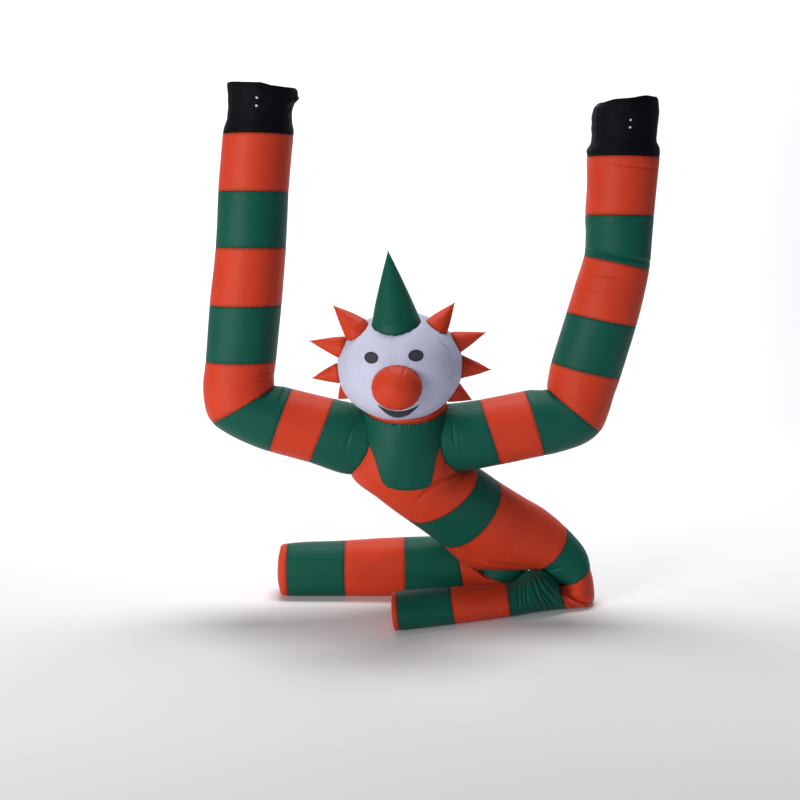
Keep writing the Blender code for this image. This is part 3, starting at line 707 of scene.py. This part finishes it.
def cap_points(ring, levels, seat=None):
    """Rings that close a tube's end, on their own plane or seated on a neighbour's surface."""
    centre = ring.mean(axis=0)
    rings = [centre + (ring - centre) * (1 - step / levels) for step in range(1, levels)]
    rings.append(centre[None, :])
    if seat is not None:
        for loop in rings:
            for index, point in enumerate(loop):
                spot, normal, _, _ = seat.find_nearest(Vector(point))
                loop[index] = np.array(spot + normal * GAP)
    return rings


def closed_tube(name, grid, places, angles, slot, seats=(None, None), seams=(True, True)):
    """A padded piece from a tube's rings, with both ends closed."""
    levels, sides = grid.shape[:2]
    flip = turned_in(grid, grid_normals(grid), 0)
    faces = ring_faces(levels, sides, flip)
    radius = np.linalg.norm(grid - grid.mean(axis=1, keepdims=True), axis=-1).mean()
    points = [grid.reshape(-1, 3)]
    uvs = [cloth_uv(angles, radius, places)]
    distances = [np.repeat(seam_distance(places, seams), sides)]
    count = levels * sides
    for end, seat, sewn in zip((0, levels - 1), seats, seams):
        inner = list(range(end * sides, end * sides + sides))
        for loop in cap_points(grid[end], 4 if seat is not None else 2, seat):
            fresh = list(range(count, count + len(loop)))
            faces += cap_faces(inner, fresh, flip if end == 0 else not flip)
            inner = fresh
            count += len(loop)
            points.append(loop)
            uvs.append(loop[:, (0, 1)])
            # A sewn end's cap counts as lying on the seam, so it takes the full painted seam shade.
            distances.append(np.full(len(loop), 0.0 if sewn else 1.0))
    points = np.concatenate(points)
    points[:, 2] = np.maximum(points[:, 2], 0.0)
    obj = add_piece(name, points, faces, slot, np.concatenate(uvs), np.concatenate(distances))


def surface_tree(grid):
    """A search tree of a closed tube's rings, with flat ends and its faces outwards."""
    levels, sides = grid.shape[:2]
    flip = turned_in(grid, grid_normals(grid), 0)
    faces = ring_faces(levels, sides, flip)
    for end in (tuple(range(sides))[::-1], tuple(range((levels - 1) * sides, levels * sides))):
        faces.append(end[::-1] if flip else end)
    return BVHTree.FromPolygons([tuple(point) for point in grid.reshape(-1, 3)], faces)


def push_out(points, tree, margin=0.001, reach=0.0):
    """Presses points on a neighbour: those inside go to its surface, and near ones are drawn towards it."""
    shape = points.shape
    flat = points.reshape(-1, 3)
    for index, point in enumerate(flat):
        spot, normal, _, _ = tree.find_nearest(Vector(point))
        offset = Vector(point) - spot
        height = offset.dot(normal)
        # Beyond a sharp edge the nearest face can look away from a point that is outside.
        if height < margin and (offset.length < EDGE_REACH or height < -0.8 * offset.length):
            flat[index] = np.array(spot + normal * margin)
        elif height < reach and offset.length < reach:
            share = (height - margin) / (reach - margin)
            wanted = margin + (height - margin) * share**2
            flat[index] = np.array(Vector(point) + normal * (wanted - height))
    return flat.reshape(shape)


def press_folds(name, grid):
    """Presses a piece's listed folds into its rings."""
    normals = grid_normals(grid)
    return grid - normals * fold_depth(name, grid, normals)[..., None]


def relax(grid, trees, times):
    """Evens out pressed cloth between its two end rings, and keeps it clear of its neighbours."""
    for _ in range(times):
        around = (np.roll(grid, 1, axis=1) + np.roll(grid, -1, axis=1)) / 2
        along = (grid[:-2] + grid[2:]) / 2
        grid = grid.copy()
        grid[1:-1] = 0.4 * grid[1:-1] + 0.3 * around[1:-1] + 0.3 * along
    for tree in trees:
        grid = push_out(grid, tree)
    return grid


def press_piece(name, grid, trees):
    """Presses a piece of the near leg on the pieces it meets."""
    neighbours, times = PRESSED[name]
    meets = [trees[neighbour] for neighbour in neighbours]
    for tree in meets:
        grid = push_out(grid, tree, reach=CONTACT_REACH)
    return press_folds(name, relax(grid, meets, times))


def cloth_places(grid, travel):
    """Where a shortened tube's rings are along its cloth."""
    length = np.linalg.norm(np.diff(grid, axis=0), axis=-1).sum(axis=0).mean()
    return travel / travel[-1] * length


def end_on(grid, places, trees, margin=0.0008):
    """Shortens each line of a tube so that it ends where it meets a neighbour."""
    result = grid.copy()
    share = places / places[-1]
    for column in range(grid.shape[1]):
        line = grid[:, column]
        travel = np.concatenate(((0.0,), np.cumsum(np.linalg.norm(np.diff(line, axis=0), axis=1))))
        reach = travel[-1]
        for tree in trees:
            for step in range(len(line) - 1):
                start, way = Vector(line[step]), Vector(line[step + 1] - line[step])
                if way.length < 1e-7 or travel[step] > reach:
                    continue
                spot, _, _, away = tree.ray_cast(start, way.normalized(), way.length)
                if spot is not None:
                    reach = min(reach, travel[step] + away - margin)
                    break
        wanted = share * max(reach, 0.01)
        for axis in range(3):
            result[:, column, axis] = np.interp(wanted, travel, line[:, axis])
    return result


def ball_grid(centre, half, tilt, segments, levels):
    """A ball's rings, round an axis that points at the viewer. Its other two axes are tilted sideways."""
    polar = np.linspace(0, math.pi, levels + 1)[1:-1, None]
    turn = full_turn(segments)[None, :]
    across, upward = np.sin(polar) * np.cos(turn), np.sin(polar) * np.sin(turn)
    forward = np.cos(polar) * np.ones_like(turn)
    right, up = (math.cos(tilt), 0.0, math.sin(tilt)), (-math.sin(tilt), 0.0, math.cos(tilt))
    grid = centre + np.multiply.outer(across, right) * half[0] + np.multiply.outer(upward, up) * half[2]
    return grid + np.multiply.outer(forward, (0.0, -1.0, 0.0)) * half[1]


def ball_normals(grid, centre, half):
    normals = (grid - centre) / half**2
    return normals / np.linalg.norm(normals, axis=-1, keepdims=True)


def side_ways(axis, hint):
    """Two directions square to an axis."""
    side = np.cross(axis, hint)
    side /= np.linalg.norm(side)
    return side, np.cross(axis, side)


def head_gathers(points):
    """Small puckers in the head round the base of each cone and of the nose."""
    total = np.zeros(points.shape[:-1])
    seats = [cone[1:] for cone in (*HORNS, HAT)]
    seats.append((NOSE_CENTRE - (0, 0.1, 0), NOSE_CENTRE + (0, 0.04, 0), NOSE_BASE_RADIUS))
    for number, (tip, base, radius) in enumerate(seats):
        axis = np.subtract(tip, base)
        axis = axis / np.linalg.norm(axis)
        side, other = side_ways(axis, (0.3, 0.2, 0.9))
        away = points - base
        u, v, rise = away @ side, away @ other, np.abs(away @ axis)
        beyond = np.hypot(u, v) - radius
        near = np.exp(-np.abs(beyond) / PUCKER_REACH) * (rise < 0.22)
        wave = even_wave(np.arctan2(v, u), 4, 9, 24, 900 + number)
        groove = HEAD_GROOVE_DEPTH * np.exp(-((beyond / HEAD_GROOVE_WIDTH) ** 2)) * (rise < 0.2)
        total += PUCKER_HEIGHT * wave * near - groove
    return total


def build_head():
    """The white head. Returns its search tree, for what is sewn to it."""
    grid = ball_grid(HEAD_CENTRE, HEAD_HALF, HEAD_TILT, 200, 130)
    normals = ball_normals(grid, HEAD_CENTRE, HEAD_HALF)
    levels, sides = grid.shape[:2]
    turn = np.arctan2(grid[..., 2] - HEAD_CENTRE[2], grid[..., 0] - HEAD_CENTRE[0])
    shift = head_gathers(grid) - fold_depth("Head", grid, normals)
    shift += 0.0022 * even_wave(turn, 4, 3, 9, 71) * np.sin(np.linspace(0, math.pi, levels))[:, None]
    grid = grid + normals * shift[..., None]
    places, angles = np.linspace(0, 1.1, levels), full_turn(sides)
    closed_tube("Head", grid, places, angles, "fabric_white", seams=(False, False))
    return surface_tree(grid)


def cone_grid(name, tip, base, radius, sides, number):
    """Rings of a cone from its rounded tip to below its base."""
    axis = np.subtract(base, tip)
    length = np.linalg.norm(axis)
    axis = axis / length
    side, other = side_ways(axis, (0.31, 0.9, 0.2))
    travel = np.concatenate(((0.0, 0.0015, TIP_ROUND), np.linspace(0.01, length + CONE_SINK, 60)))
    share = np.clip(travel / length, 0.0, 1.0)
    radii = radius * (share + CONE_BULGE * np.sin(share * math.pi))
    radii = np.maximum(radii, np.sqrt(np.clip(travel, 0.0, TIP_ROUND) * TIP_ROUND + 1e-7))
    angles = full_turn(sides)
    spokes = np.cos(angles)[:, None] * side + np.sin(angles)[:, None] * other
    grid = tip + travel[:, None, None] * axis + radii[:, None, None] * spokes[None]
    wave = even_wave(angles, 3, 2, 6, 500 + number)[None, :]
    wave = wave * wander(travel, 2, 20, 45, 520 + number)[:, None]
    bulk = np.clip(radii / radius, 0.0, 1.0)[:, None]
    grid = grid + spokes[None] * (DENT_HEIGHT * wave * bulk)[..., None]
    return press_folds(name, grid), travel, angles


def add_cone(name, tip, base, radius, slot, head_tree, number, sides=64):
    """A cone sewn to the head."""
    grid, travel, angles = cone_grid(name, tip, base, radius, sides, number)
    grid = end_on(grid, travel, (head_tree,))
    places = cloth_places(grid, travel)
    shift = sewn_end("cone", places, angles, 640 + number)
    shift[:4] = 0.0
    grid = grid + grid_normals(grid) * shift[..., None]
    closed_tube(name, grid, places, angles, slot, seats=(None, head_tree), seams=(False, True))


def build_nose(head_tree):
    grid = ball_grid(NOSE_CENTRE, NOSE_HALF, 0.0, 96, 70)
    travel = np.linspace(0.0, 0.44, grid.shape[0])
    grid = end_on(grid, travel, (head_tree,))
    places, angles = cloth_places(grid, travel), full_turn(grid.shape[1])
    normals = ball_normals(grid, NOSE_CENTRE, NOSE_HALF)
    shift = sewn_end("nose", places, angles, 77) - fold_depth("Nose", grid, normals)
    shift[-1] = 0.0
    grid = grid + normals * shift[..., None]
    closed_tube("Nose", grid, places, angles, "fabric_red", seats=(None, head_tree), seams=(False, True))


def patch_faces(columns, rows):
    """The faces of a patch's outer layer, of its inner layer, and of the rim between them."""
    width, layer = columns + 1, (columns + 1) * (rows + 1)
    faces = []
    for row in range(rows):
        for column in range(columns):
            corner = row * width + column
            quad = (corner, corner + 1, corner + 1 + width, corner + width)
            faces.append(quad[::-1])
            faces.append(tuple(layer + point for point in quad))
    rim = list(range(width)) + [row * width + columns for row in range(1, rows + 1)]
    rim += [rows * width + column for column in range(columns - 1, -1, -1)]
    rim += [row * width for row in range(rows - 1, 0, -1)]
    for start, end in zip(rim, rim[1:] + rim[:1]):
        faces.append((end, layer + end, layer + start, start))
    return faces


def seat_at(tree, x, z):
    """Where the front of a surface is at x and z, and its normal there."""
    spot, normal, _, _ = tree.ray_cast(Vector((x, -2.0, z)), Vector((0.0, 1.0, 0.0)))
    if spot is None:
        spot, normal, _, _ = tree.find_nearest(Vector((x, -0.3, z)))
    return spot, normal


def thin_patch(name, columns, rows, place, tree, slot, flat, area, rests="Head", lift=None):
    """A thin cloth patch: a grid of x and z places laid on a surface, with rounded edges."""
    outer, inner, edges, flat_places = [], [], [], []
    for row in range(rows + 1):
        for column in range(columns + 1):
            a, b = column / columns, row / rows
            x, z = place(a, b)
            spot, normal = seat_at(tree, x, z)
            edge = min(a, 1 - a, b, 1 - b)
            full = min(1.0, edge / PATCH_ROUND) ** 0.5
            rise = PANEL_THICKNESS * (PATCH_RIM + (1 - PATCH_RIM) * full)
            extra = lift(a, b) if lift else 0.0
            inner.append(np.array(spot + normal * (PATCH_CLEARANCE + 0.6 * extra)))
            outer.append(np.array(spot + normal * (PATCH_CLEARANCE + rise + extra)))
            edges.append(edge)
            flat_places.append((x, z))
    # The distance to the patch's rim: the cloth darkens towards it with the painted seam shade, and gets
    # stitches there.
    seam = np.array(edges * 2) * min(flat) + 0.001
    points, uv = np.array(outer + inner), np.array(flat_places * 2)
    obj = add_piece(name, points, patch_faces(columns, rows), slot, uv, seam)


def build_eyes(head_tree):
    for name, x, z, half_width, half_height in EYES:
        def place(a, b, x=x, z=z, half_width=half_width, half_height=half_height):
            u, v = 2 * a - 1, 1 - 2 * b
            across = half_width * u * math.sqrt(1 - v * v / 2)
            return x + across, z + half_height * v * math.sqrt(1 - u * u / 2)
        flat = (2 * half_width, 2 * half_height)
        area = math.pi * half_width * half_height
        thin_patch(name, 20, 20, place, head_tree, "fabric_grey", flat, area)


def mouth_place(a, b):
    """The crescent between its two sagging edges."""
    middle, half = (MOUTH_LEFT + MOUTH_RIGHT) / 2, (MOUTH_RIGHT - MOUTH_LEFT) / 2
    turn = math.pi * (0.02 + 0.96 * a)
    sag = MOUTH_TOP_SAG + (MOUTH_BOTTOM_SAG - MOUTH_TOP_SAG) * b
    return middle - half * math.cos(turn), MOUTH_CORNER_Z - sag * math.sin(turn) ** 2


def panel_place(a, b):
    """The chest panel between its side edges, with a lower edge that sags and rounded lower corners."""
    heights, lefts, rights = zip(*PANEL)
    z = heights[0] + (heights[-1] - heights[0]) * b
    left = np.interp(-z, [-height for height in heights], lefts)
    right = np.interp(-z, [-height for height in heights], rights)
    corner = PANEL_CORNER * max(0.0, (b - 0.9) / 0.1) ** 2
    left, right = left + corner, right - corner
    share = 0.5 - 0.5 * math.cos(math.pi * a)
    share = 0.35 * a + 0.65 * share if b < 0.3 else a
    arch = 1 - (2 * a - 1) ** 2
    sag = PANEL_SAG * arch * b**3 + PANEL_TOP_SAG * arch * (1 - b) ** 3
    return left + (right - left) * share, z - sag


def panel_lift(a, b):
    """Gathers under the collar, and faint folds lower down."""
    gather = PANEL_GATHER * math.exp(-b / 0.065) * (1.0 + math.sin(a * 130 + 3 * math.sin(a * 23)))
    return gather + 0.0012 * (1 + math.sin(a * 19 + 4 * b)) * b


def build_torso(head_tree):
    """The torso and the near leg. Returns the search trees that the other pieces meet."""
    trees = {}
    for number, (name, first, last, slot) in enumerate(stripes(BODY, "collar"), 40):
        mesh_size = (WIDE_SIDES, WIDE_SPACING) if name in WIDE_PIECES else (SIDES, FINE_SPACING)
        grid, rows, places, angles = tube_grid(BODY, first, last, *mesh_size)
        sewn = (True, name != "Near_foot_cap")
        folds = 1.0 if name.startswith("Near_shin") else FOLD_SHARE
        grid = inflate(name, grid, rows, places, angles, number, ends=sewn, folds=folds)
        if name == "Chest":
            grid = push_out(grid, head_tree, GAP)
        if name in PRESSED:
            grid = press_piece(name, grid, trees)
        trees[name] = surface_tree(grid)
        closed_tube(name, grid, places, angles, slot, seams=sewn)
    return trees


def build_collar(head_tree):
    """The neck band under the head. Returns its search tree."""
    top, seam = seam_row(BODY, "top"), seam_row(BODY, "collar")
    grid, rows, places, angles = tube_grid(BODY, top, seam, WIDE_SIDES, FINE_SPACING)
    grid, rows, ends = grid[::-1], rows[::-1], (True, False)
    grid = inflate("Collar", grid, rows, places, angles, 60, gather=COLLAR_GATHER, ends=ends)
    grid = end_on(grid, places, (head_tree,))
    closed_tube("Collar", grid, places, angles, "fabric_red", seats=(None, head_tree), seams=ends)
    return surface_tree(grid)


def build_far_leg(trees):
    pelvis, thigh = trees["Pelvis"], trees["Near_thigh"]
    slots = ("fabric_green", "fabric_red")
    for number, (name, first, last, slot) in enumerate(stripes(FAR_LEG, "top", slots), 70):
        grid, rows, places, angles = tube_grid(FAR_LEG, first, last)
        sewn, seats = (True, name != "Far_foot_cap"), (None, None)
        grid = inflate(name, grid, rows, places, angles, number, ends=sewn)
        if name == "Far_thigh":
            grid = end_on(grid[::-1], places, (pelvis, thigh))
            seats = (None, pelvis)
        elif name in ("Far_knee", "Far_shin_green_1"):
            grid = push_out(push_out(grid, pelvis), thigh)
        closed_tube(name, grid, places, angles, slot, seats=seats, seams=sewn)


def build_arms(trees):
    for side, table, first_number in (("left", LEFT_ARM, 10), ("right", RIGHT_ARM, 25)):
        for number, (part, first, last, slot) in enumerate(stripes(table, "cuff"), first_number):
            name = f"Arm_{side}_{part}"
            spacing = ELBOW_SPACING if part in ("red_3", "green_3") else SPACING
            grid, rows, places, angles = tube_grid(table, first, last, spacing=spacing)
            shoulder, seats = part == "green_4", (None, None)
            grid = inflate(name, grid, rows, places, angles, number, ends=(True, not shoulder))
            if shoulder:
                grid = end_on(grid, places, (trees["Chest"], trees["Collar"]))
                shift = sewn_end("shoulder", places, angles, number + 300)
                grid = grid + grid_normals(grid) * shift[..., None]
                seats = (None, trees["Chest"])
            closed_tube(name, grid, places, angles, slot, seats=seats)


def cuff_shift(places, angles, number, lump):
    """How far a cuff's cloth leaves its rings. The lump is cloth bunched at its mouth."""
    down, to_seam = places[:, None], places[-1] - places
    loose = np.clip(1.0 - places / places[-1], 0.0, 1.0)[:, None]
    shift = CUFF_FOLD * even_wave(angles, 4, 2, 8, number) * loose
    shift = shift + CUFF_WRINKLE * even_wave(angles, 6, 10, 30, number + 1) * (0.4 + 0.6 * loose)
    creases = np.sin(down * CREASE_TURN + 2.2 * even_wave(angles, 3, 1, 6, number + 2))
    shift = shift + CREASE_HEIGHT * creases * (1 + even_wave(angles, 3, 2, 7, number + 3))
    shift = shift - SEAM_DEPTH * np.exp(-to_seam / SEAM_WIDTH)[:, None]
    shift = shift - HEM_DEPTH * np.exp(-(((down - HEM_PLACE) / HEM_WIDTH) ** 2))
    if lump:
        near = np.exp(-((np.angle(np.exp(1j * angles)) / LUMP_SPREAD) ** 2))[None, :]
        reach = np.exp(-(((down - LUMP_DROP) / LUMP_REACH) ** 2))
        crumple = 1 + 0.14 * np.sin(down * 110 + 8 * angles[None, :])
        shift = shift + LUMP_HEIGHT * near * reach * crumple
    return shift


def mouth_rise(side, places, angles, number):
    """How far a cuff's uneven mouth rises, fading 0.08 m below it."""
    across, lift = zip(*MOUTH_RISE[side])
    rise = np.interp(np.cos(angles), across, lift) + 0.0015 * even_wave(angles, 3, 3, 8, number + 4)
    return rise[None, :] * np.clip(1 - places[:, None] / 0.08, 0, 1)


def build_cuff(side, table, number, lump):
    """A black cloth sleeve, open at both ends, with an uneven mouth and loose folds."""
    grid, rows, places, angles = tube_grid(table, 0, seam_row(table, "cuff"), WIDE_SIDES, FINE_SPACING)
    normals = grid_normals(grid)
    outer = grid + normals * cuff_shift(places, angles, number, lump)[..., None]
    outer[..., 2] += mouth_rise(side, places, angles, number)
    inner = outer - normals * CUFF_WALL
    # One closed loop of rings: down the outside and back up the inside.
    loop = np.concatenate((outer, inner[::-1]))
    levels, sides = loop.shape[:2]
    flip = turned_in(loop, normals, 2)
    faces = ring_faces(levels, sides, flip)
    last_ring = (levels - 1) * sides
    faces += cap_faces(range(last_ring, last_ring + sides), range(sides), not flip)
    # The outside darkens beside the hem and the seam with the painted seam shade, and gets stitches there;
    # the inside doesn't.
    to_hem, to_seam = np.abs(places - HEM_PLACE + 0.011), places[-1] - places
    away = np.concatenate((np.minimum(to_hem, to_seam + 0.002), np.ones_like(places)))
    radius, name = rows[:, 3].mean(), f"Cuff_{side}"
    uv = cloth_uv(angles, radius, np.tile(places, 2))
    obj = add_piece(name, loop.reshape(-1, 3), faces, "fabric_black", uv, np.repeat(away, sides))


def dress_studs():
    for name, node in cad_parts.items():
        if name.startswith("Stud_"):
            node.data.materials.clear()
            node.data.materials.append(MATERIALS["stud_metal"])


def plain_material(name, colour):
    nodes = Nodes(name)
    nodes.put(nodes.shader, "Base Color", (*colour, 1.0))
    nodes.put(nodes.shader, "Roughness", 0.9)
    return nodes.material


def build_floor():
    """A pale floor that curves up into a pale wall."""
    profile = [(-FLOOR_REACH, 0.0), (WALL_START, 0.0)]
    for step in range(1, 13):
        turn = math.pi / 2 * step / 12
        profile.append((WALL_START + COVE * math.sin(turn), COVE * (1 - math.cos(turn))))
    profile.append((WALL_START + COVE, WALL_TOP))
    corners = [(x, y, z - FLOOR_DROP) for y, z in profile for x in (-FLOOR_REACH, FLOOR_REACH)]
    faces = [(2 * row, 2 * row + 1, 2 * row + 3, 2 * row + 2) for row in range(len(profile) - 1)]
    mesh = bpy.data.meshes.new("Floor")
    mesh.from_pydata(corners, [], faces)
    mesh.shade_smooth()
    mesh.materials.append(plain_material("Pale floor", (0.85, 0.85, 0.86)))
    floor = bpy.data.objects.new("Floor", mesh)
    bpy.context.scene.collection.objects.link(floor)


# Lights. Columns: name, place, target, size, watts, colour.
LIGHTS = (
    ("Key", (-9.5, -10.2, 2.6), (0.0, 0.0, 1.5), 4.6, 1450.0, (1.0, 0.98, 0.95)),
    ("Low fill", (0.0, -13.0, 0.9), (0.2, 0.0, 1.0), 4.0, 100.0, (1.0, 0.97, 0.94)),
    ("Wall wash", (0.0, 2.5, 11.0), (0.0, 10.5, 3.0), 6.0, 1500.0, (1.0, 1.0, 1.0)),
    ("Sky fill", (10.5, -9.0, 2.0), (0.0, 0.0, 1.6), 4.6, 120.0, (0.35, 0.52, 1.0)),
)


def build_lights():
    for name, place, target, size, power, colour in LIGHTS:
        light = bpy.data.lights.new(name, "AREA")
        light.size = size
        light.energy = power
        light.color = colour
        obj = bpy.data.objects.new(name, light)
        obj.location = place
        obj.rotation_euler = (Vector(target) - Vector(place)).to_track_quat("-Z", "Y").to_euler()
        bpy.context.scene.collection.objects.link(obj)
    world = bpy.data.worlds.new("Pale studio")
    world.use_nodes = True
    background = world.node_tree.nodes["Background"]
    background.inputs["Color"].default_value = (0.90, 0.95, 1.0, 1.0)
    background.inputs["Strength"].default_value = 0.17
    bpy.context.scene.world = world


def build_camera():
    data = bpy.data.cameras.new("Camera")
    data.sensor_width = SENSOR
    data.lens = FOCAL_PIXELS / FRAME_PIXELS * SENSOR
    camera = bpy.data.objects.new("Camera", data)
    camera.location = CAMERA_PLACE - ORIGIN
    camera.rotation_euler = (math.pi / 2 - CAMERA_PITCH, 0.0, 0.0)
    bpy.context.scene.collection.objects.link(camera)
    bpy.context.scene.camera = camera
    bpy.context.scene.view_settings.view_transform = "Standard"


def main():
    head_tree = build_head()
    trees = build_torso(head_tree)
    trees["Collar"] = build_collar(head_tree)
    build_far_leg(trees)
    build_arms(trees)
    build_cuff("left", LEFT_ARM, 90, True)
    build_cuff("right", RIGHT_ARM, 95, False)
    build_nose(head_tree)
    for number, horn in enumerate(HORNS):
        add_cone(*horn, "fabric_red", head_tree, number)
    add_cone(*HAT, "fabric_green", head_tree, 20, sides=96)
    build_eyes(head_tree)
    thin_patch("Mouth", 40, 12, mouth_place, head_tree, "fabric_grey", MOUTH_FLAT, MOUTH_AREA)
    panel = (panel_place, trees["Chest"], "fabric_green", PANEL_FLAT, PANEL_AREA)
    thin_patch("Chest_panel", 110, 90, *panel, rests="Chest", lift=panel_lift)
    dress_studs()
    build_floor()
    build_lights()
    build_camera()


main()
